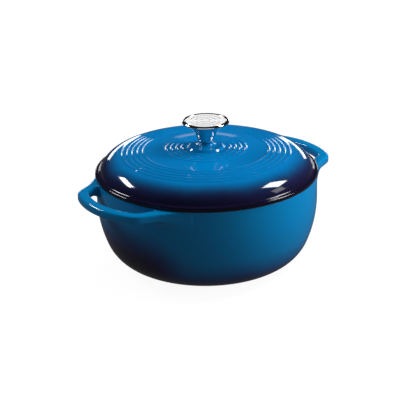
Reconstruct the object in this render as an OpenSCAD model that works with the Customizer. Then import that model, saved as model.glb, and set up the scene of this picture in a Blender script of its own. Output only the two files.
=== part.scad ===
// Covered casserole dish: a round enamelled cast-iron pot with two loop handles, and a domed lid
// with a hollow steel knob that one screw holds from below.
// Millimetres. The foot ring stands on z = 0, +Z is up and the handles lie along X.

/* [Pot] */
// Outside radius of the pot's wall
pot_r = 143.5; // [119:0.1:172]
// Height of the rim above the surface that the pot stands on
pot_h = 120.3; // [100:0.1:145]
// Thickness of the wall
pot_wall = 4; // [3.3:0.1:6]
// Thickness of the floor above the recess in the foot
floor_t = 4.5; // [3.5:0.1:7]
// How far the foot ring's edge lies inside the wall
side_run = 59.1; // [49:0.1:71]
// Height at which the curved side becomes a straight wall
side_rise = 89.4; // [74:0.1:98]
// How much smaller the bottom corner's radius is than side_run
side_lean = 7.6; // [6.3:0.1:10]
// Width of the foot ring
foot_w = 8; // [5:0.5:12]
// Depth of the recess inside the foot ring
foot_recess = 1.5; // [0.5:0.1:2.5]
// Rounding of the rim's two edges
rim_round = 0.9; // [0.3:0.1:1.5]

/* [Handles] */
// Distance from the pot's wall to the outermost point of a handle
handle_reach = 37.6; // [31.5:0.1:46]
// Radius of the long outer curve of a handle
handle_curve_r = 115; // [96:0.5:138]
// Outside radius of a handle's two corners
handle_corner_r = 24; // [20:0.5:28]
// Half angle of the long curve, between the two corners
handle_half_angle = 27; // [22.5:0.5:30]
// Direction that the outer face of a straight arm looks in, from the X axis
arm_angle = 67; // [60:0.5:74]
// Width of the bar, seen from above
bar_w = 14; // [11.6:0.1:16]
// Thickness of the bar
bar_t = 11.2; // [9.3:0.1:13.5]
// Rounding of the bar's edges
bar_round = 3.2; // [1.5:0.1:4]
// Drop from the rim to the top face of the handles
handle_drop = 1.7; // [1:0.1:6]
// Height above the wall at which an arm starts to spread into its root
root_h = 13; // [10:0.5:16]
// How far a root spreads along the wall, on the outer side of the arm
root_out = 24; // [10:1:30]
// How far a root spreads along the wall, inside the loop
root_in = 5; // [2:1:10]
// How far a root spreads down the wall, below the arm
root_down = 13; // [6:0.5:16]

/* [Lid] */
// How far the lid's edge stands out past the pot's wall
lid_overhang = 1; // [0.5:0.1:2]
// Thickness of the lid's casting
lid_wall = 4; // [3.3:0.1:5]
// Thickness of the flat flange that lies on the rim
flange_t = 4.8; // [4:0.1:5.8]
// Width of the flange outside the fillet
flange_w = 3.8; // [3.1:0.1:5]
// Radius of the fillet between the flange and the shoulder
flange_fillet = 2.5; // [2:0.1:3.5]
// Rounding of the flange's outer edges
flange_round = 1.6; // [0.5:0.1:1.7]
// Radius of the shoulder
shoulder_r = 30; // [25:0.5:36]
// Slope at which the shoulder meets the flange's fillet
shoulder_slope = 69; // [57:0.5:76]
// Radius of the dome
dome_r = 820; // [680:10:990]
// Depth of the lip that drops into the pot's mouth
lip_depth = 4.5; // [3:0.1:8]
// Thickness of the lip
lip_t = 3.8; // [3:0.1:4.6]
// Clearance between the lip and the inside of the pot
lip_clear = 1.5; // [0.8:0.1:3]

/* [Ridges] */
// Number of ridges in the group near the shoulder
outer_ridges = 5; // [2:1:5]
// Number of ridges in the group round the knob
inner_ridges = 4; // [2:1:4]
// Spacing of the ridges
ridge_pitch = 6.75; // [5.6:0.05:7.2]
// Width of one ridge
ridge_w = 4.4; // [3:0.1:5]
// Height of one ridge
ridge_h = 0.9; // [0.4:0.1:1.4]
// Distance from the outermost ridge to the start of the shoulder
ridge_margin = 6.4; // [5.3:0.1:7.7]

/* [Knob seat] */
// Radius of the round seat in the middle of the lid
seat_r = 24.6; // [20.5:0.1:26]
// Height of the seat above the dome
seat_rise = 2.6; // [1.5:0.1:3.5]
// Slope of the seat's edge in degrees
seat_slope = 46; // [38:1:60]
// Radius of the rounded top of the seat's edge
seat_round = 2; // [1:0.5:3]
// Height of the neck above the seat
neck_rise = 4.2; // [2.5:0.1:6]
// Width of the hollow curve round the neck
neck_run = 8; // [5:0.1:10]
// How far the neck stands out past the foot of the knob
neck_margin = 1; // [0.5:0.1:2]
// Radius of the screw pad under the lid
pad_r = 12; // [10.5:0.5:15]
// Thickness of the screw pad below the lid's inner face
pad_t = 1; // [0.5:0.1:3]

/* [Knob] */
// Radius of the knob's foot
knob_foot_r = 8; // [7.5:0.1:9.6]
// Height of the stem
stem_h = 25.3; // [21:0.1:31]
// Growth of the stem's radius along its taper
stem_taper = 9.7; // [8:0.1:11.6]
// Growth of the stem's radius in the flare under the cap
stem_flare = 5.7; // [4:0.1:6.8]
// Thickness of the stem's shell
stem_wall = 1.8; // [1.2:0.1:2.2]
// Thickness of the stem's floor
stem_floor = 2.5; // [1.5:0.1:4]
// Radius of the cap
cap_r = 30.5; // [27:0.1:36.5]
// Thickness of the cap
cap_t = 4.4; // [3.6:0.1:5.4]
// Width of the cap's rounded rim, round the face plate
cap_rim_w = 4.3; // [3.5:0.1:5.2]
// Depth of the register under the cap, inside the stem's mouth
register_depth = 2; // [1:0.1:3]
// Thickness of the face plate
face_t = 1; // [0.6:0.1:1.4]
// Depth of the face plate below the cap's rim
face_sink = 0.4; // [0.2:0.1:1]
// Number of turned rings on the face plate
face_rings = 3; // [1:1:4]
// Clearance round the face plate and the register
knob_clear = 0.15; // [0.05:0.05:0.3]

/* [Fastening] */
// Radius of the screw's shank
screw_r = 3; // [2.5:0.5:3.5]
// Length of the screw's shank
screw_len = 28; // [24:1:33]
// Radius of the screw's head
head_r = 6; // [5:0.1:7.2]
// Height of the screw's head
head_h = 3.6; // [2.8:0.1:4.4]
// Outside radius of the flat washer
washer_r = 9; // [7.5:0.1:10]
// Thickness of each washer
washer_t = 1.6; // [1:0.1:2]
// Outside radius of the split spring washer
spring_r = 5.8; // [5:0.1:6.9]
// Width of the spring washer's split
spring_gap = 1.2; // [0.6:0.1:2]
// Outside radius of the threaded bush in the stem
bush_r = 5.4; // [4.9:0.1:6.4]
// Height of the threaded bush
bush_h = 13; // [11:0.5:15]
// Radial clearance of the screw in the holes that it passes through
hole_clear = 0.3; // [0.2:0.1:0.6]
// Radial clearance of the screw in the bush's thread
thread_clear = 0.05; // [0.02:0.01:0.1]

/* [Hidden] */
$fn = 128;
// Degrees per step along a profile's arcs
arc_step = 5;
// How far joined shapes reach into each other
lap = 1;

// Pot, as radius and height
pot_inner_r = pot_r - pot_wall;
foot_r = pot_r - side_run;
corner_r = side_run - side_lean;
side_r = (pow(side_run, 2) + pow(side_rise, 2) - 2 * side_rise * corner_r) / (2 * side_lean);
side_x = pot_r - side_r;
// Angle at which the side's arc meets the corner's arc, below the horizontal
side_angle = atan2(side_rise - corner_r, foot_r - side_x);
floor_z = foot_recess + floor_t;
// Angle at which the inside corner's arc reaches the floor
floor_angle = acos((corner_r - floor_z) / (corner_r - pot_wall));

// Handles
handle_top = pot_h - handle_drop;
bar_z = handle_top - bar_t / 2;
curve_x = pot_r + handle_reach - handle_curve_r;
corner_x = curve_x + (handle_curve_r - handle_corner_r) * cos(handle_half_angle);
corner_y = (handle_curve_r - handle_corner_r) * sin(handle_half_angle);
// Start of an arm's centre line, at the end of its corner
arm_x = corner_x + (handle_corner_r - bar_w / 2) * cos(arm_angle);
arm_y = corner_y + (handle_corner_r - bar_w / 2) * sin(arm_angle);
// Heights above the wall of the sections along an arm's root; the last one lies in the wall
root_steps = [root_h, root_h * 0.7, root_h * 0.45, root_h * 0.27, root_h * 0.13, root_h * 0.05, root_h * 0.01, -pot_wall / 2];

// Lid, with heights above the rim
lid_r = pot_r + lid_overhang;
fillet_x = lid_r - flange_w;
shoulder_x = fillet_x - (shoulder_r + flange_fillet) * sin(shoulder_slope);
shoulder_z = flange_t + flange_fillet - (shoulder_r + flange_fillet) * cos(shoulder_slope);
dome_angle = asin(shoulder_x / (dome_r - shoulder_r));
dome_z = shoulder_z - (dome_r - shoulder_r) * cos(dome_angle);
dome_edge = dome_r * sin(dome_angle);
crown_z = dome_z + dome_r;
lip_r = pot_inner_r - lip_clear;
lip_inner_r = lip_r - lip_t;
inner_angle = asin((lip_inner_r - shoulder_x) / (shoulder_r - lid_wall));
ridge_radii = concat(
    [for (i = [0:outer_ridges - 1]) dome_edge - ridge_margin - i * ridge_pitch],
    [for (i = [inner_ridges - 1:-1:0]) seat_r + (i + 1) * ridge_pitch]);
neck_r = knob_foot_r + neck_margin;
seat_z = crown_z + seat_rise;
seat_edge_z = seat_z - seat_round * (1 - cos(seat_slope));
seat_edge_x = seat_r - (seat_edge_z - dome(seat_r)) / tan(seat_slope);
pad_z = crown_z - lid_wall - pad_t;

// Knob and fastening, as heights above the ground
knob_z = pot_h + seat_z + neck_rise;
cap_z = knob_z + stem_h;
mouth_r = stem_outer(stem_h - register_depth) - stem_wall;
recess_r = cap_r - cap_rim_w;
recess_z = cap_z + cap_t - face_sink - face_t;
face_r = recess_r - knob_clear;
washer_z = pot_h + pad_z - washer_t;
spring_z = washer_z - washer_t;
hole_r = screw_r + hole_clear;

// Angles from a to b in steps of at most arc_step
function turns(a, b) =
    let(n = max(2, ceil(abs(b - a) / arc_step)))
    [for (i = [0:n]) a + (b - a) * i / n];

// Points of an arc round [x, z], from angle a to angle b
function arc(x, z, r, a, b) = [for (t = turns(a, b)) [x + r * cos(t), z + r * sin(t)]];

// Height of the dome's outer face above the rim
function dome(x) = dome_z + sqrt(pow(dome_r, 2) - pow(x, 2));

// Radius of the stem's outer face, h above the knob's foot
function stem_outer(h) = knob_foot_r + stem_taper * pow(h / stem_h, 0.75) + stem_flare * pow(h / stem_h, 4);

// Outer shell of the pot, filled
module pot_body() {
    rotate_extrude()
    polygon(concat(
        [[0, foot_recess], [foot_r - foot_w, foot_recess], [foot_r - foot_w + foot_recess, 0]],
        arc(foot_r, corner_r, corner_r, -90, -side_angle),
        arc(side_x, side_rise, side_r, -side_angle, 0),
        arc(pot_r - rim_round, pot_h - rim_round, rim_round, 0, 90),
        [[0, pot_h]]));
}

// Hollow of the pot, with a rounded mouth
module pot_hollow() {
    rotate_extrude()
    polygon(concat(
        [[0, floor_z]],
        arc(foot_r, corner_r, corner_r - pot_wall, floor_angle - 90, -side_angle),
        arc(side_x, side_rise, side_r - pot_wall, -side_angle, 0),
        arc(pot_inner_r + rim_round, pot_h - rim_round, rim_round, 180, 90),
        [[pot_inner_r + rim_round, pot_h + lap], [0, pot_h + lap]]));
}

// Cross-section of a handle's bar, centred on its centre line
function bar_section() =
    let(x = bar_w / 2 - bar_round, y = bar_t / 2 - bar_round)
    [for (q = [0:3], t = [0:30:90])
        [bar_round * cos(q * 90 + t) + (q == 0 || q == 3 ? x : -x),
         bar_round * sin(q * 90 + t) + (q < 2 ? y : -y)]];

// Sections of the bar round a bend about [x, y] of radius r on its centre line
function bend(x, y, r, a, b) =
    [for (t = turns(a, b)) [for (p = bar_section()) [x + (r + p.x) * cos(t), y + (r + p.x) * sin(t), bar_z + p.y]]];

// How far a root has spread at this height above the wall: a quarter of an ellipse
function spread(width, gap) = width * (1 - sqrt(1 - pow(1 - max(gap, 0) / root_h, 2)));

// Section of an arm at this height above the wall, spread along and down it
function arm_section(gap) =
    [for (p = bar_section())
        let(start = [arm_x + p.x * cos(arm_angle), arm_y + p.x * sin(arm_angle)],
            run = start.x * sin(arm_angle) - start.y * cos(arm_angle),
            left = run - sqrt(pow(run, 2) - pow(norm(start), 2) + pow(pot_r + gap, 2)),
            end = [start.x - left * sin(arm_angle), start.y + left * cos(arm_angle)],
            along = spread(p.x > 0 ? root_out : root_in, gap) * p.x / (bar_w / 2),
            turn = atan2(end.y, end.x) + along / pot_r * 180 / PI,
            down = spread(root_down, gap) * min(p.y, 0) / (bar_t / 2))
        [(pot_r + gap) * cos(turn), (pot_r + gap) * sin(turn), bar_z + p.y + down]];

// One loop handle, on the +X side, swept through its whole length
module handle() {
    corner = bend(corner_x, corner_y, handle_corner_r - bar_w / 2, handle_half_angle, arm_angle);
    half = concat(
        bend(curve_x, 0, handle_curve_r - bar_w / 2, 0, handle_half_angle),
        [for (i = [1:len(corner) - 1]) corner[i]],
        [for (gap = root_steps) arm_section(gap)]);
    sections = concat([for (i = [len(half) - 1:-1:1]) [for (p = half[i]) [p.x, -p.y, p.z]]], half);
    n = len(sections[0]);
    last = len(sections) - 1;
    polyhedron(
        points = [for (section = sections, p = section) p],
        faces = concat(
            [[for (j = [n - 1:-1:0]) j], [for (j = [0:n - 1]) last * n + j]],
            [for (i = [0:last - 1], j = [0:n - 1])
                let(k = (j + 1) % n)
                [i * n + j, i * n + k, (i + 1) * n + k, (i + 1) * n + j]]));
}

// Pot: one casting with its two handles
module pot() {
    color("#0d5d96")
    difference() {
        union() {
            pot_body();
            handle();
            mirror([1, 0, 0]) handle();
        }
        pot_hollow();
    }
}

// Outline of the lid's outer face from its middle to the flange, in heights above the rim
function lid_top() = concat(
    [[0, seat_z + neck_rise]],
    [for (t = [90:-15:0]) [neck_r + neck_run * (1 - sin(t)), seat_z + neck_rise * (1 - cos(t))]],
    arc(seat_edge_x - seat_round * sin(seat_slope), seat_z - seat_round, seat_round, 90, 90 - seat_slope),
    [[seat_r, dome(seat_r)]],
    [for (i = [len(ridge_radii) - 1:-1:0], k = [-2:2])
        let(x = ridge_radii[i] + k * ridge_w / 4)
        [x, dome(x) + ridge_h * (1 + cos(90 * k)) / 2]],
    arc(shoulder_x, shoulder_z, shoulder_r, 90 - dome_angle, 90 - shoulder_slope),
    arc(fillet_x, flange_t + flange_fillet, flange_fillet, 270 - shoulder_slope, 270),
    arc(lid_r - flange_round, flange_t - flange_round, flange_round, 90, 0),
    arc(lid_r - flange_round, flange_round, flange_round, 0, -90));

// Outline of the lid's lip and inner face, back to its middle
function lid_bottom() = concat(
    [[lip_r, 0], [lip_r, 1 - lip_depth], [lip_r - 1, -lip_depth], [lip_inner_r, -lip_depth]],
    arc(shoulder_x, shoulder_z, shoulder_r - lid_wall, 90 - inner_angle, 90 - dome_angle),
    arc(0, dome_z, dome_r - lid_wall, 90 - dome_angle, 90 - asin(pad_r / dome_r)),
    [[pad_r, pad_z], [0, pad_z]]);

// Lid: one casting with a hole for the knob's screw
module lid() {
    color("#1272b0")
    translate([0, 0, pot_h])
    difference() {
        rotate_extrude() polygon(concat(lid_top(), lid_bottom()));
        translate([0, 0, pad_z - lap]) cylinder(r = hole_r, h = crown_z + 4 * lap);
    }
}

// Stem of the knob: a hollow shell that flares out under the cap
module knob_stem() {
    heights = [for (i = [1:16]) stem_h * pow(i / 16, 1.5)];
    inside = stem_h - register_depth;
    color("#b9bec4")
    translate([0, 0, knob_z])
    rotate_extrude()
    polygon(concat(
        [[hole_r, 0], [knob_foot_r, 0]],
        [for (h = heights) [stem_outer(h), h]],
        [[mouth_r, stem_h], [mouth_r, inside]],
        [for (h = [10:-1:0]) let(z = stem_floor + (inside - stem_floor) * h / 10)
            [stem_outer(z) - stem_wall, z]],
        [[hole_r, stem_floor]]));
}

// Cap of the knob: a disc with a rounded rim, a recess on top and a register below
module knob_cap() {
    register_r = mouth_r - knob_clear;
    edge_r = cap_t / 2;
    color("#d2d5d9")
    rotate_extrude()
    polygon(concat(
        [[0, cap_z], [register_r - stem_wall, cap_z], [register_r - stem_wall, cap_z - register_depth + knob_clear],
            [register_r, cap_z - register_depth + knob_clear], [register_r, cap_z]],
        arc(cap_r - edge_r, cap_z + edge_r, edge_r, -90, 90),
        [[recess_r, cap_z + cap_t], [recess_r, recess_z], [0, recess_z]]));
}

// Face plate in the cap's recess, with shallow turned rings
module knob_face() {
    ring_pitch = face_r / (face_rings + 1);
    ring_w = 0.8;
    color("#3a3d42")
    difference() {
        translate([0, 0, recess_z]) cylinder(r = face_r, h = face_t);
        for (i = [1:face_rings])
            translate([0, 0, recess_z + face_t])
            rotate_extrude()
            translate([i * ring_pitch, 0])
            polygon([[-ring_w / 2, lap], [-ring_w / 2, 0], [0, -ring_w / 4], [ring_w / 2, 0], [ring_w / 2, lap]]);
    }
}

// Threaded bush on the stem's floor
module knob_insert() {
    color("#c9a24e")
    translate([0, 0, knob_z + stem_floor])
    difference() {
        cylinder(r = bush_r, h = bush_h);
        translate([0, 0, -lap]) cylinder(r = screw_r + thread_clear, h = bush_h + 2 * lap);
    }
}

// Screw from under the lid, with a cross recess in its rounded head
module knob_screw() {
    head_round = head_h / 2;
    recess_w = head_r * 0.3;
    color("#9da2a8")
    translate([0, 0, spring_z])
    difference() {
        rotate_extrude()
        polygon(concat(
            [[0, -head_h]],
            arc(head_r - head_round, head_round - head_h, head_round, -90, 0),
            [[head_r, 0], [screw_r, 0], [screw_r, screw_len - 1], [screw_r - 1, screw_len], [0, screw_len]]));
        for (turn = [0, 90])
            rotate(turn)
            translate([0, 0, -head_h])
            cube([head_r, recess_w, head_h], center = true);
    }
}

// Split spring washer on the screw's head
module spring_washer() {
    color("#70757b")
    translate([0, 0, spring_z])
    difference() {
        cylinder(r = spring_r, h = washer_t);
        translate([0, 0, -lap]) cylinder(r = screw_r + hole_clear / 2, h = washer_t + 2 * lap);
        translate([0, -spring_gap / 2, -lap]) cube([spring_r + lap, spring_gap, washer_t + 2 * lap]);
    }
}

// Flat washer under the lid's pad
module flat_washer() {
    color("#a9aeb4")
    translate([0, 0, washer_z])
    difference() {
        cylinder(r = washer_r, h = washer_t);
        translate([0, 0, -lap]) cylinder(r = screw_r + hole_clear / 2, h = washer_t + 2 * lap);
    }
}

pot();
lid();
knob_stem();
knob_cap();
knob_face();
knob_insert();
knob_screw();
spring_washer();
flat_washer();
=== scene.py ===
"""Covered casserole dish: an enamelled cast-iron pot and lid with a screwed-on steel knob.

The pieces follow each other as the dish is put together: pot, lid, knob, fastening. The room comes last.
Sizes are in millimetres and each mesh is brought to metres once, when it becomes an object. The camera,
the materials and the lights are in metres.
"""

from math import acos, asin, atan2, cos, degrees, pi, radians, sin, sqrt, tan, tau

import bmesh
import bpy
from mathutils import Matrix, Vector


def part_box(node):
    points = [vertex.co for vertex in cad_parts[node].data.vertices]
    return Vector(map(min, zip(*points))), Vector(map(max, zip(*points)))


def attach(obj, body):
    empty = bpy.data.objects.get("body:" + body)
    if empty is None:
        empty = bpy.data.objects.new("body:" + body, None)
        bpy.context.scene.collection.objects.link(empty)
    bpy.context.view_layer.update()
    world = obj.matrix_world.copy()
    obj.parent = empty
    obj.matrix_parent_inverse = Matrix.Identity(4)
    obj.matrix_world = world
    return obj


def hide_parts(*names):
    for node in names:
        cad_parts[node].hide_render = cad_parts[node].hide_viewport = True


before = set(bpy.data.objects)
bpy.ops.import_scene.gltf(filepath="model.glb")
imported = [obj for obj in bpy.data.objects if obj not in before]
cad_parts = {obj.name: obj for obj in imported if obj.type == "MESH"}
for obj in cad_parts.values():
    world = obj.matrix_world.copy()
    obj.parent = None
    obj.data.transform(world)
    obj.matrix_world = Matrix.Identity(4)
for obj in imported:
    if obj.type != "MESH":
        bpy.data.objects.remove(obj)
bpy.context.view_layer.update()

# ---------------------------------------------------------------- camera
# A long lens, a little above the dish and to the left of its front. It stands back from the point that it
# aims at, which is inside the dish.
azimuth, elevation, roll = radians(-40.07), radians(21.2424), radians(-1.0756)
aim, camera_distance = Vector((0, 0, 0.0867)), 2.0829
back = Vector((sin(azimuth) * cos(elevation), -cos(azimuth) * cos(elevation), sin(elevation)))
level = Vector((cos(azimuth), sin(azimuth), 0))
upright = back.cross(level)
camera = bpy.data.objects.new("camera", bpy.data.cameras.new("camera"))
bpy.context.scene.collection.objects.link(camera)
camera.matrix_world = Matrix.Translation(aim + back * camera_distance) @ Matrix((
    level * cos(roll) + upright * sin(roll),
    upright * cos(roll) - level * sin(roll),
    back)).transposed().to_4x4()
camera.data.sensor_width = 36
camera.data.lens = 143.52
camera.data.shift_x, camera.data.shift_y = -0.01753, -0.0120
bpy.context.scene.camera = camera

# ---------------------------------------------------------------- pot
# Cast iron, sand-cast in one piece with its two loop handles, then coated inside and out with glass
# enamel and fired. The wall is 4 mm, and the bowl stands on a low foot ring.
pot_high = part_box("pot")[1] * 1000
pot_r, rim_z = pot_high.y, pot_high.z
wall, floor_t, rim_round = 4, 4.5, 0.9
foot_r, foot_w, foot_recess, foot_edge = pot_r - 59.1, 8, 1.5, 2
# Outside, the wall is a corner arc that rises from the foot and a long side arc that is upright from side_z.
corner_r, side_z = 51.5, 89.4
side_r = ((pot_r - foot_r) ** 2 + side_z ** 2 - 2 * side_z * corner_r) / (2 * (pot_r - foot_r - corner_r))
side_x = pot_r - side_r
side_angle = degrees(atan2(side_z - corner_r, foot_r - side_x))
floor_z = foot_recess + floor_t
floor_angle = degrees(acos((corner_r - floor_z) / (corner_r - wall)))


def arc(x, z, r, start, end, steps):
    """Points of an arc round (x, z), with its angles in degrees."""
    turns = (radians(start + (end - start) * i / steps) for i in range(steps + 1))
    return [(x + r * cos(t), z + r * sin(t)) for t in turns]


def turned(outline, closed=False, steps=192):
    """A shape spun round the Z axis from its outline of (radius, height) points."""
    shape = bmesh.new()
    verts = [shape.verts.new((x, 0, z)) for x, z in outline]
    edges = [shape.edges.new(pair) for pair in zip(verts, verts[1:])]
    if closed:
        edges.append(shape.edges.new((verts[-1], verts[0])))
    bmesh.ops.spin(
        shape, geom=verts + edges, cent=(0, 0, 0), axis=(0, 0, 1), angle=tau, steps=steps, use_merge=True)
    bmesh.ops.remove_doubles(shape, verts=shape.verts, dist=0.001)
    bmesh.ops.recalc_face_normals(shape, faces=shape.faces)
    return shape


def made(shape, name, *materials, crease=35):
    """A smooth-shaded object of the shape, in metres, with edges sharper than crease degrees left sharp."""
    bmesh.ops.scale(shape, verts=shape.verts, vec=(0.001, 0.001, 0.001))
    for face in shape.faces:
        face.smooth = True
    for edge in shape.edges:
        edge.smooth = edge.calc_face_angle(0) < radians(crease)
    mesh = bpy.data.meshes.new(name)
    shape.to_mesh(mesh)
    shape.free()
    for material in materials:
        mesh.materials.append(material)
    piece = bpy.data.objects.new(name, mesh)
    bpy.context.scene.collection.objects.link(piece)
    return piece


pot_shape = turned(
    [(0, foot_recess), (foot_r - foot_w - foot_edge, foot_recess)]
    + [(foot_r - foot_w + foot_recess, 0), (foot_r - foot_edge, 0)]
    + arc(foot_r, corner_r, corner_r, -90, -side_angle, 18)
    + arc(side_x, side_z, side_r, -side_angle, 0, 14)[1:]
    + arc(pot_r - rim_round, rim_z - rim_round, rim_round, 0, 90, 5)
    + arc(pot_r - wall + rim_round, rim_z - rim_round, rim_round, 90, 180, 5)
    + arc(side_x, side_z, side_r - wall, 0, -side_angle, 14)
    + arc(foot_r, corner_r, corner_r - wall, -side_angle, floor_angle - 90, 16)[1:]
    + [(foot_r * 0.5, floor_z), (0, floor_z)])

# The loop handles, in plan: a long curve, two tight corners, and arms that run into the wall. Half of one
# is swept from its middle, its arm is spread where the casting is filleted into the wall, and the half is
# mirrored twice.
bar_w, bar_t, bar_round, bar_drop = 14, 11.2, 3.2, 1.7
curve_r, handle_corner_r = 115, 24
half_angle, arm_angle = radians(27), radians(67)
curve_x = pot_high.x - curve_r
corner_reach = curve_r - handle_corner_r
corner = Vector((curve_x + corner_reach * cos(half_angle), corner_reach * sin(half_angle), 0))
bar_z = rim_z - bar_drop - bar_t / 2
out_of_arm = Vector((cos(arm_angle), sin(arm_angle), 0))
arm_start = corner + out_of_arm * (handle_corner_r - bar_w / 2)
# A root begins root_h above the wall, and spreads this far along the wall on each side, down it and up it.
root_h, root_out, root_in, root_down, root_up = 13, 24, 5, 13, 0.8
# Heights above the wall at which a root has a ring of points. The last ring is inside the wall.
root_rings = (root_h, 11, 9, 7.2, 5.6, 4.2, 3, 2, 1.2, 0.6, 0.2, 0, -1.5)


def spread(width, gap):
    """How far a root has spread at this height above the wall: a quarter of an ellipse."""
    return width * (1 - sqrt(1 - (1 - max(gap, 0) / root_h) ** 2))


bars = bmesh.new()
bmesh.ops.create_grid(
    bars, x_segments=1, y_segments=1, size=0.5,
    matrix=Matrix.Translation((curve_x + curve_r - bar_w / 2, 0, bar_z)) @ Matrix.Rotation(pi / 2, 4, "X")
    @ Matrix.Diagonal((bar_w, bar_t, 1, 1)))
bmesh.ops.bevel(
    bars, geom=bars.verts[:], offset=bar_round, affect="VERTICES", segments=6, profile=0.5, material=-1)
bmesh.ops.delete(bars, geom=bars.faces[:], context="FACES_ONLY")
end = bars.verts[:] + bars.edges[:]
for centre, angle in (((curve_x, 0, 0), half_angle), (corner, arm_angle - half_angle)):
    swept = bmesh.ops.spin(bars, geom=end, cent=centre, axis=(0, 0, 1), angle=angle, steps=14)
    end = swept["geom_last"]
arm = {tuple(v.co): v.co - arm_start for v in end if isinstance(v, bmesh.types.BMVert)}
for gap in root_rings:
    last_edges = [e for e in end if isinstance(e, bmesh.types.BMEdge)]
    grown = bmesh.ops.extrude_edge_only(bars, edges=last_edges)["geom"]
    end = [g for g in grown if not isinstance(g, bmesh.types.BMFace)]
    moved = {}
    for vert in (v for v in end if isinstance(v, bmesh.types.BMVert)):
        place = arm[tuple(vert.co)]
        side, rise = place.dot(out_of_arm), place.z - bar_z
        start = arm_start + out_of_arm * side
        run = start.x * sin(arm_angle) - start.y * cos(arm_angle)
        left = run - sqrt(run ** 2 - start.length_squared + (pot_r + gap) ** 2)
        turn = atan2(start.y + left * cos(arm_angle), start.x - left * sin(arm_angle))
        turn += spread(root_out if side > 0 else root_in, gap) * side / (bar_w / 2) / pot_r
        rise += spread(root_up if rise > 0 else root_down, gap) * rise / (bar_t / 2)
        vert.co = (pot_r + gap) * cos(turn), (pot_r + gap) * sin(turn), bar_z + rise
        moved[tuple(vert.co)] = place
    arm = moved
bmesh.ops.mirror(bars, geom=bars.verts[:] + bars.edges[:] + bars.faces[:], axis="Y", merge_dist=0.001)
bmesh.ops.remove_doubles(bars, verts=bars.verts, dist=0.001)
bmesh.ops.holes_fill(bars, edges=bars.edges, sides=0)
bmesh.ops.mirror(bars, geom=bars.verts[:] + bars.edges[:] + bars.faces[:], axis="X", merge_dist=0)
bmesh.ops.recalc_face_normals(bars, faces=bars.faces)

# The outside is blue, the rim is bare of colour, and the inside is cream.
for face in pot_shape.faces:
    middle = face.calc_center_median()
    outwards = face.normal.dot(Vector((middle.x, middle.y, 0)))
    if middle.z > rim_z - rim_round:
        face.material_index = 1
    elif middle.z > floor_z - 1 and (outwards < 0 or face.normal.z > 0.5):
        face.material_index = 2
loop_mesh = bpy.data.meshes.new("loops")
bars.to_mesh(loop_mesh)
bars.free()
pot_shape.from_mesh(loop_mesh)
bpy.data.meshes.remove(loop_mesh)


def colour(code):
    """An sRGB hex colour as linear RGBA."""
    values = [int(code[i:i + 2], 16) / 255 for i in (0, 2, 4)]
    return [v / 12.92 if v <= 0.04045 else ((v + 0.055) / 1.055) ** 2.4 for v in values] + [1]


def add(tree, kind, inputs=(), stops=(), blend="B_SPLINE", **settings):
    """Adds a shader node, with its settings, and with values or other nodes' sockets on its inputs.

    A ramp also has stops, from left to right: (place, hex colour), or (place, grey level) for light.
    """
    node = tree.nodes.new("ShaderNode" + kind)
    for key, value in settings.items():
        setattr(node, key, value)
    for key, value in dict(inputs).items():
        if isinstance(value, bpy.types.NodeSocket):
            tree.links.new(value, node.inputs[key])
        else:
            node.inputs[key].default_value = value
    if stops:
        node.color_ramp.interpolation = blend
        for at, tint in stops[2:]:
            node.color_ramp.elements.new(at)
        for stop, (at, tint) in zip(node.color_ramp.elements, stops):
            stop.position = at
            stop.color = colour(tint) if isinstance(tint, str) else (tint, tint, tint, 1)
    return node


def new_material(name):
    """An empty material: its tree, its shader and the place on the piece."""
    material = bpy.data.materials.new(name)
    material.use_nodes = True
    tree = material.node_tree
    shader = tree.nodes["Principled BSDF"]
    return material, tree, shader, add(tree, "TexCoord").outputs["Object"]


def enamel_skin(tree, shader, place, ripple=1.0):
    """The glassy skin of fired enamel: IOR 1.5, near a mirror, with the ripples that the melt leaves."""
    wide = add(tree, "TexNoise", {"Vector": place, "Scale": 1 / 0.014, "Detail": 1.0}).outputs["Fac"]
    fine = add(tree, "TexNoise", {"Vector": place, "Scale": 1 / 0.0035, "Detail": 1.5}).outputs["Fac"]
    strength = 0.5 * ripple
    waves = add(tree, "Bump", {"Height": wide, "Strength": strength, "Distance": 0.00016}).outputs["Normal"]
    peel = add(tree, "Bump", {"Height": fine, "Normal": waves, "Strength": strength, "Distance": 0.00002})
    gloss = add(tree, "MapRange", {"Value": fine, "To Min": 0.05, "To Max": 0.10})
    tree.links.new(peel.outputs["Normal"], shader.inputs["Normal"])
    tree.links.new(gloss.outputs["Result"], shader.inputs["Roughness"])
    shader.inputs["IOR"].default_value = 1.5


# Blue frit over a dark ground coat. It is sprayed thick near the rim and thin at the foot, so that the navy
# ground shows through low down. Below the handles the blue is darkened further: that is painted shade, where
# the handles shade the wall.
pot_enamel, tree, shader, place = new_material("vitreous_enamel_blue_to_navy")
pot_blues = [(0.0, "14102a"), (0.10, "211a4a"), (0.24, "164a7c"), (0.42, "0074ac"), (1.0, "007ab4")]
# Where the painted shade under the handles begins, as a share of the pot's radius, and how much it darkens
# the blue.
painted_shade_start, painted_shade_depth = 0.68, 0.36
from_middle = add(tree, "SeparateXYZ", {"Vector": place}).outputs
cloud = add(tree, "TexNoise", {"Vector": place, "Scale": 1 / 0.06, "Detail": 2.0}).outputs["Fac"]
drift = add(tree, "MapRange", {"Value": cloud, "To Min": -0.008, "To Max": 0.008}).outputs["Result"]
height = add(tree, "Math", {0: from_middle["Z"], 1: drift}, operation="ADD").outputs["Value"]
height = add(tree, "MapRange", {"Value": height, "From Max": rim_z / 1000}).outputs["Result"]
side = add(tree, "Math", {0: from_middle["X"]}, operation="ABSOLUTE").outputs["Value"]
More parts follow.
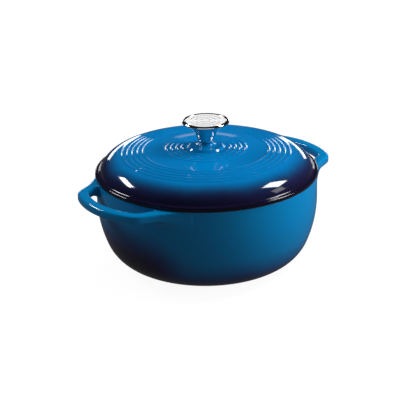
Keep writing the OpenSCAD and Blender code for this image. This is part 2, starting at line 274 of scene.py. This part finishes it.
# Painted shade: the colour darkens towards each handle, under it, where the handle's shade falls on the wall.
painted_handle_shade = add(tree, "MapRange", {
    "Value": side, "From Min": painted_shade_start * pot_r / 1000, "From Max": pot_r / 1000, "To Max": painted_shade_depth,
}, interpolation_type="SMOOTHSTEP").outputs["Result"]
height = add(tree, "Math", {0: height, 1: painted_handle_shade}, operation="SUBTRACT", use_clamp=True).outputs["Value"]
tint = add(tree, "ValToRGB", {"Fac": height}, stops=pot_blues).outputs["Color"]
tree.links.new(tint, shader.inputs["Base Color"])
enamel_skin(tree, shader, place)

# The rim is left without colour: a thin satin skin of black ground coat over iron.
rim_coat, tree, shader, place = new_material("ground_coat_on_iron")
grain = add(tree, "TexNoise", {"Vector": place, "Scale": 1 / 0.0012, "Detail": 3.0}).outputs["Fac"]
tint = add(tree, "ValToRGB", {"Fac": grain}, stops=[(0.3, "15161a"), (0.7, "2a2b30")]).outputs["Color"]
satin = add(tree, "MapRange", {"Value": grain, "To Min": 0.35, "To Max": 0.55}).outputs["Result"]
pits = add(tree, "Bump", {"Height": grain, "Strength": 0.4, "Distance": 0.00005}).outputs["Normal"]
tree.links.new(tint, shader.inputs["Base Color"])
tree.links.new(satin, shader.inputs["Roughness"])
tree.links.new(pits, shader.inputs["Normal"])

# Cream enamel inside, glossier and a little uneven in tone where it ran before it set.
cream_enamel, tree, shader, place = new_material("vitreous_enamel_cream")
runs = add(tree, "TexNoise", {"Vector": place, "Scale": 1 / 0.04, "Detail": 2.0}).outputs["Fac"]
tint = add(tree, "ValToRGB", {"Fac": runs}, stops=[(0.3, "e3d8be"), (0.7, "efe7d3")]).outputs["Color"]
tree.links.new(tint, shader.inputs["Base Color"])
enamel_skin(tree, shader, place, ripple=0.7)

pot = made(pot_shape, "pot_casting", pot_enamel, rim_coat, cream_enamel)
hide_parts("pot")
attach(pot, "pot")

# ---------------------------------------------------------------- lid
# Cast iron and enamelled like the pot. A flat flange lies on the rim, a lip drops inside it, and the low dome
# carries two groups of raised rings and a round seat with a short neck for the knob.
lid_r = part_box("lid")[1].y * 1000
lid_wall, flange_t, flange_w, flange_fillet, flange_round = 4, 4.8, 3.8, 2.5, 1.6
shoulder_r, shoulder_slope, dome_r = 30, radians(69), 820
lip_gap, lip_t, lip_depth, lip_round = 1.5, 3.8, 4.5, 1
lip_r = pot_r - wall - lip_gap
inner_rings, outer_rings = 4, 5
ring_pitch, ring_w, ring_h, ring_margin = 6.75, 4.4, 0.9, 6.4
seat_r, seat_rise, seat_round, seat_slope, seat_fillet = 24.6, 2.6, 2, radians(46), 0.4
neck_rise, neck_run, neck_r = 4.2, 8, 9
pad_r, pad_t, pad_bevel, hole_r = 12, 1, 0.6, 3.3
fillet_x = lid_r - flange_w
shoulder_x = fillet_x - (shoulder_r + flange_fillet) * sin(shoulder_slope)
shoulder_z = flange_t + flange_fillet - (shoulder_r + flange_fillet) * cos(shoulder_slope)
dome_angle = asin(shoulder_x / (dome_r - shoulder_r))
dome_z = shoulder_z - (dome_r - shoulder_r) * cos(dome_angle)
dome_edge = dome_r * sin(dome_angle)
inner_angle = degrees(asin((lip_r - lip_t - shoulder_x) / (shoulder_r - lid_wall)))
seat_z = dome_z + dome_r + seat_rise
pad_z = dome_z + dome_r - lid_wall - pad_t
rings = [seat_r + i * ring_pitch for i in range(1, inner_rings + 1)]
rings += [dome_edge - ring_margin - i * ring_pitch for i in reversed(range(outer_rings))]


def dome(x, r=dome_r):
    """Height of the dome above the rim at this radius."""
    return dome_z + sqrt(r ** 2 - x ** 2)


# The outline's top runs out from the hole: neck, seat, rings, shoulder, flange.
top = [(hole_r, seat_z + neck_rise)]
for t in range(90, -1, -9):
    top.append((neck_r + neck_run * (1 - sin(radians(t))), seat_z + neck_rise * (1 - cos(radians(t)))))
seat_edge_z = seat_z - seat_round * (1 - cos(seat_slope))
seat_edge_x = seat_r - (seat_edge_z - dome(seat_r)) / tan(seat_slope)
seat_arc_x = seat_edge_x - seat_round * sin(seat_slope)
top += arc(seat_arc_x, seat_z - seat_round, seat_round, 90, 90 - degrees(seat_slope), 8)
fillet_end = seat_r + 1.5 * seat_fillet
top += [(seat_r - seat_fillet, dome(seat_r) + seat_fillet), (seat_r, dome(seat_r) + seat_fillet / 4)]
top.append((fillet_end, dome(fillet_end)))
for ring in rings:
    for k in range(-5, 6):
        x = ring + ring_w * k / 10
        top.append((x, dome(x) + ring_h * (1 + cos(pi * k / 5)) / 2))
shoulder_end = 90 - degrees(shoulder_slope)
top += arc(shoulder_x, shoulder_z, shoulder_r, 90 - degrees(dome_angle), shoulder_end, 24)
top += arc(fillet_x, flange_t + flange_fillet, flange_fillet, 180 + shoulder_end, 270, 8)[1:]
top += arc(lid_r - flange_round, flange_t - flange_round, flange_round, 90, 0, 6)
top += arc(lid_r - flange_round, flange_round, flange_round, 0, -90, 6)[1:]
# Its underside runs back in: lip, inside of the shoulder and the dome, pad round the hole.
below = [(lip_r, 0), (lip_r, lip_round - lip_depth)]
below += [(lip_r - 0.3 * lip_round, 0.3 * lip_round - lip_depth), (lip_r - lip_round, -lip_depth)]
below.append((lip_r - lip_t + 0.6, -lip_depth))
below += arc(shoulder_x, shoulder_z, shoulder_r - lid_wall, 90 - inner_angle, 90 - degrees(dome_angle), 16)
below += [(x, dome(x, dome_r - lid_wall)) for x in (95, 75, 55, 35, 20, pad_r + 2)]
below += [(pad_r + pad_bevel, pad_z + pad_bevel), (pad_r - pad_bevel / 2, pad_z), (hole_r, pad_z)]
lid_shape = turned([(x, rim_z + z) for x, z in top + below], closed=True)

# The face that lies on the rim and the outside of the lip are bare, and the inside is cream.
bare_w, bare_h = 1.2, 0.3
for face in lid_shape.faces:
    middle = face.calc_center_median()
    r = Vector((middle.x, middle.y)).length
    if r > lip_r - bare_w and middle.z < rim_z + bare_h:
        face.material_index = 1
    elif middle.z < rim_z or (face.normal.z < 0 and r < lip_r):
        face.material_index = 2

# The same blue, but sprayed to fade outwards: bright over the dome, then navy on the shoulder, and near
# black on the flange.
lid_enamel, tree, shader, place = new_material("vitreous_enamel_blue_fading_to_black")
lid_blues = [(0.0, "0076b8"), (0.79, "0073b2"), (0.865, "0a4674"), (0.92, "1b1236"), (1.0, "0d0a18")]
flat = add(tree, "VectorMath", {0: place, 1: (1, 1, 0)}, operation="MULTIPLY").outputs["Vector"]
reach = add(tree, "VectorMath", {0: flat}, operation="LENGTH").outputs["Value"]
cloud = add(tree, "TexNoise", {"Vector": place, "Scale": 1 / 0.05, "Detail": 2.0}).outputs["Fac"]
drift = add(tree, "MapRange", {"Value": cloud, "To Min": -0.004, "To Max": 0.004}).outputs["Result"]
reach = add(tree, "Math", {0: reach, 1: drift}, operation="ADD").outputs["Value"]
reach = add(tree, "MapRange", {"Value": reach, "From Max": lid_r / 1000}).outputs["Result"]
tint = add(tree, "ValToRGB", {"Fac": reach}, stops=lid_blues).outputs["Color"]
tree.links.new(tint, shader.inputs["Base Color"])
enamel_skin(tree, shader, place, ripple=0.5)

lid = made(lid_shape, "lid_casting", lid_enamel, rim_coat, cream_enamel)
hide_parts("lid")
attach(lid, "lid")

# ---------------------------------------------------------------- knob
# Stainless steel, drawn and mirror-polished: a hollow stem that flares upwards, a cap with a rounded rim that
# is pressed into its mouth, and a thin plate let into the top of the cap.
knob_z = rim_z + seat_z + neck_rise
stem_low, stem_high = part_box("knob_stem")
stem_h = (stem_high.z - stem_low.z) * 1000
stem_foot, taper, flare = 8, 9.7, 5.7
shell, stem_floor, register, fit_gap = 1.8, 2.5, 2, 0.15


def stem_outer(h):
    """Radius of the stem, h above its foot."""
    return stem_foot + taper * (h / stem_h) ** 0.75 + flare * (h / stem_h) ** 4


mouth_r = stem_outer(stem_h - register) - shell
heights = [stem_h * (i / 32) ** 1.5 for i in range(33)]
inside = [stem_floor + (stem_h - register - stem_floor) * i / 16 for i in range(16, -1, -1)]
stem_shape = turned(
    [(x, knob_z + h) for x, h in
     [(hole_r, 0)] + [(stem_outer(h), h) for h in heights] + [(mouth_r, stem_h)]
     + [(stem_outer(h) - shell, h) for h in inside] + [(hole_r, stem_floor)]],
    closed=True, steps=128)

# Mirror-polished stainless steel: a bright grey metal, with the haze that handling leaves and hairlines too
# fine to show except as a slight blur.
steel, tree, shader, place = new_material("stainless_steel_mirror_polished")
shader.inputs["Base Color"].default_value = colour("dcdde0")
shader.inputs["Metallic"].default_value = 1
haze = add(tree, "TexNoise", {"Vector": place, "Scale": 1 / 0.012, "Detail": 4.0}).outputs["Fac"]
blur = add(tree, "MapRange", {"Value": haze, "To Min": 0.03, "To Max": 0.12}).outputs["Result"]
drawn = add(tree, "Mapping", {"Vector": place, "Scale": (1, 1, 12)}).outputs["Vector"]
hairs = add(tree, "TexNoise", {"Vector": drawn, "Scale": 1 / 0.002, "Detail": 2.0}).outputs["Fac"]
hairlines = add(tree, "Bump", {"Height": hairs, "Strength": 0.15, "Distance": 0.00001}).outputs["Normal"]
tree.links.new(blur, shader.inputs["Roughness"])
tree.links.new(hairlines, shader.inputs["Normal"])

stem = made(stem_shape, "knob_stem_shell", steel)
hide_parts("knob_stem")
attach(stem, "lid")

# The cap: a tongue that fits the stem's mouth, a full-round rim, and a recess with a rounded edge.
cap_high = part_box("knob_cap")[1] * 1000
cap_r, cap_t, cap_z = cap_high.x, 4.4, knob_z + stem_h
cap_edge, recess_r = 1.2, cap_r - 4.3
face_t, face_drop = 1, 0.4
face_z = cap_high.z - face_drop - face_t
tongue_r, tongue_z = mouth_r - fit_gap, cap_z - register + fit_gap
cap_shape = turned(
    [(0, cap_z), (tongue_r - shell, cap_z), (tongue_r - shell, tongue_z)]
    + [(tongue_r, tongue_z), (tongue_r, cap_z)]
    + arc(cap_r - cap_t / 2, cap_z + cap_t / 2, cap_t / 2, -90, 90, 16)
    + arc(recess_r + cap_edge, cap_high.z - cap_edge, cap_edge, 90, 180, 6)
    + [(recess_r, face_z), (0, face_z)], steps=128)
cap = made(cap_shape, "knob_cap_disc", steel)
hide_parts("knob_cap")
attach(cap, "lid")

# The plate has three shallow turned grooves, at even spacing.
grooves, groove_w, plate_bevel = 3, 0.8, 0.2
plate_r, plate_top = recess_r - fit_gap, face_z + face_t
plate = [(0, face_z), (plate_r, face_z)]
plate += [(plate_r, plate_top - plate_bevel), (plate_r - plate_bevel, plate_top)]
for i in range(grooves, 0, -1):
    middle = plate_r * i / (grooves + 1)
    plate += [(middle + groove_w / 2, plate_top), (middle, plate_top - groove_w / 4)]
    plate.append((middle - groove_w / 2, plate_top))
plate.append((0, plate_top))
plate_shape = turned(plate, steps=128)

# Steel faced on a lathe: bright and satin, where the grooves and the edge are polished like the cap.
plate_steel, tree, shader, place = new_material("stainless_steel_faced_on_a_lathe")
shader.inputs["Base Color"].default_value = colour("f2f2f2")
shader.inputs["Metallic"].default_value = 1
flat = add(tree, "VectorMath", {0: place, 1: (1, 1, 0)}, operation="MULTIPLY").outputs["Vector"]
reach = add(tree, "VectorMath", {0: flat}, operation="LENGTH").outputs["Value"]
# Tool marks 0.4 mm apart, drawn coarser than the real ones so that they show.
turns = add(tree, "Math", {0: reach, 1: tau / 0.0004}, operation="MULTIPLY").outputs["Value"]
marks = add(tree, "Math", {0: turns}, operation="SINE").outputs["Value"]
tooled = add(tree, "Bump", {"Height": marks, "Strength": 0.2, "Distance": 0.000005}).outputs["Normal"]
haze = add(tree, "TexNoise", {"Vector": place, "Scale": 1 / 0.01, "Detail": 3.0}).outputs["Fac"]
blur = add(tree, "MapRange", {"Value": haze, "To Min": 0.3, "To Max": 0.4}).outputs["Result"]
tree.links.new(tooled, shader.inputs["Normal"])
tree.links.new(blur, shader.inputs["Roughness"])
for face in plate_shape.faces:
    face.material_index = int(face.calc_center_median().z < plate_top - 0.01)
face_plate = made(plate_shape, "knob_face_plate", plate_steel, steel, crease=20)
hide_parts("knob_face")
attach(face_plate, "lid")

# ---------------------------------------------------------------- fastening
# A brass bush stands on the stem's floor inside. The screw comes up through the lid and holds the knob,
# with a split spring washer and a flat washer under its head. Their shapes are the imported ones.
brass, tree, shader, place = new_material("brass_turned")
shader.inputs["Metallic"].default_value = 1
tone = add(tree, "TexNoise", {"Vector": place, "Scale": 1 / 0.004, "Detail": 3.0}).outputs["Fac"]
tint = add(tree, "ValToRGB", {"Fac": tone}, stops=[(0.3, "a88745"), (0.7, "cfae66")]).outputs["Color"]
blur = add(tree, "MapRange", {"Value": tone, "To Min": 0.2, "To Max": 0.35}).outputs["Result"]
tree.links.new(tint, shader.inputs["Base Color"])
tree.links.new(blur, shader.inputs["Roughness"])

plated, tree, shader, place = new_material("steel_zinc_plated")
shader.inputs["Metallic"].default_value = 1
tone = add(tree, "TexNoise", {"Vector": place, "Scale": 1 / 0.003, "Detail": 4.0}).outputs["Fac"]
tint = add(tree, "ValToRGB", {"Fac": tone}, stops=[(0.3, "8d9196"), (0.7, "b9bcc0")]).outputs["Color"]
blur = add(tree, "MapRange", {"Value": tone, "To Min": 0.25, "To Max": 0.42}).outputs["Result"]
crystals = add(tree, "Bump", {"Height": tone, "Strength": 0.3, "Distance": 0.00002}).outputs["Normal"]
tree.links.new(tint, shader.inputs["Base Color"])
tree.links.new(blur, shader.inputs["Roughness"])
tree.links.new(crystals, shader.inputs["Normal"])

fastenings = {"knob_insert": brass, "knob_screw": plated, "spring_washer": plated, "flat_washer": plated}
for node, material in fastenings.items():
    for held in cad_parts[node].material_slots:
        held.material = material

# ---------------------------------------------------------------- room
# A white sweep. Softboxes stand high on the left and the right, and low strips behind the dish draw lines
# of light on the rings. Two cards light the knob's plate and its cap alone, and two fills show in no gloss.
away = Vector((-sin(azimuth), cos(azimuth), 0))
lit_middle = Vector((0, 0, 0.13))


def softbox(name, towards, distance, width, height, brightness, mirrored=True, only_on=()):
    """A lamp that faces the lid from this direction: to the right, away from the camera, and up."""
    direction = (level * towards[0] + away * towards[1] + Vector((0, 0, towards[2]))).normalized()
    lamp = bpy.data.lights.new(name, "AREA")
    lamp.shape, lamp.size, lamp.size_y = "RECTANGLE", width, height
    lamp.energy = brightness * pi * width * height
    box = bpy.data.objects.new(name, lamp)
    facing = direction.to_track_quat("Z", "Y").to_matrix().to_4x4()
    box.matrix_world = Matrix.Translation(lit_middle + direction * distance) @ facing
    box.visible_glossy, box.visible_camera = mirrored, False
    if only_on:
        box.light_linking.receiver_collection = bpy.data.collections.new(name)
        for piece in only_on:
            box.light_linking.receiver_collection.objects.link(piece)
    bpy.context.scene.collection.objects.link(box)


softbox("left_box", (-0.76, 0.31, 0.57), 1.3, 0.58, 0.17, 26)
softbox("right_box", (0.715, 0.11, 0.69), 1.3, 0.38, 0.42, 22)
softbox("right_low_box", (0.9, -0.12, 0.43), 1.3, 0.30, 0.30, 3)
softbox("left_strip", (-0.28, 0.95, 0.14), 2, 0.60, 0.24, 5)
softbox("back_strip", (0, 0.99, 0.11), 2, 0.30, 0.30, 0.45)
softbox("right_strip", (0.32, 0.94, 0.14), 2, 0.64, 0.24, 5)
softbox("plate_card", (0, 0.93, 0.36), 1, 0.55, 0.40, 1.35, only_on=[face_plate])
softbox("rim_card", (0, -0.93, 0.20), 1, 1.6, 0.45, 1.1, only_on=[cap])
softbox("right_fill", (0.99, -0.05, 0.03), 1.6, 0.9, 0.9, 11, mirrored=False)
softbox("top_fill", (0, 0.1, 0.99), 1.6, 0.9, 0.9, 3, mirrored=False)

# White paper that gives off a little light of its own, so that it stays white round the dish's soft shadow.
floor_shape = bmesh.new()
bmesh.ops.create_grid(floor_shape, x_segments=1, y_segments=1, size=6000)
sweep, tree, shader, place = new_material("white_paper_sweep")
shader.inputs["Base Color"].default_value = (0.1, 0.1, 0.1, 1)
shader.inputs["Roughness"].default_value = 1
shader.inputs["Specular IOR Level"].default_value = 0
shader.inputs["Emission Color"].default_value = (1, 1, 1, 1)
shader.inputs["Emission Strength"].default_value = 0.94
floor = made(floor_shape, "floor", sweep)
floor.visible_glossy = False
floor.visible_diffuse = False

# The rest of the room is dim, dimmer still where the gloss mirrors it, and white where the camera sees it.
# Both ramps run from straight down, 0, to straight up, 1.
world = bpy.data.worlds.new("studio")
bpy.context.scene.world = world
world.use_nodes = True
tree = world.node_tree
look = add(tree, "TexCoord").outputs["Generated"]
tilt = add(tree, "SeparateXYZ", {"Vector": look}).outputs["Z"]
tilt = add(tree, "MapRange", {"Value": tilt, "From Min": -1, "From Max": 1}).outputs["Result"]
seen = add(tree, "LightPath").outputs
soft_levels = [(0, 0.17), (1, 0.22)]
gloss_levels = [(0, 0.07), (0.45, 0.07), (0.52, 0.02), (1, 0.01)]
soft = add(tree, "ValToRGB", {"Fac": tilt}, soft_levels, "LINEAR").outputs["Color"]
in_gloss = add(tree, "ValToRGB", {"Fac": tilt}, gloss_levels, "LINEAR").outputs["Color"]
glow = add(tree, "MixRGB", {"Fac": seen["Is Glossy Ray"], "Color1": soft, "Color2": in_gloss})
glow = glow.outputs["Color"]
shown = add(tree, "MixRGB", {"Fac": seen["Is Camera Ray"], "Color1": glow, "Color2": (1, 1, 1, 1)})
tree.links.new(shown.outputs["Color"], tree.nodes["Background"].inputs["Color"])
bpy.context.scene.view_settings.view_transform = "Standard"
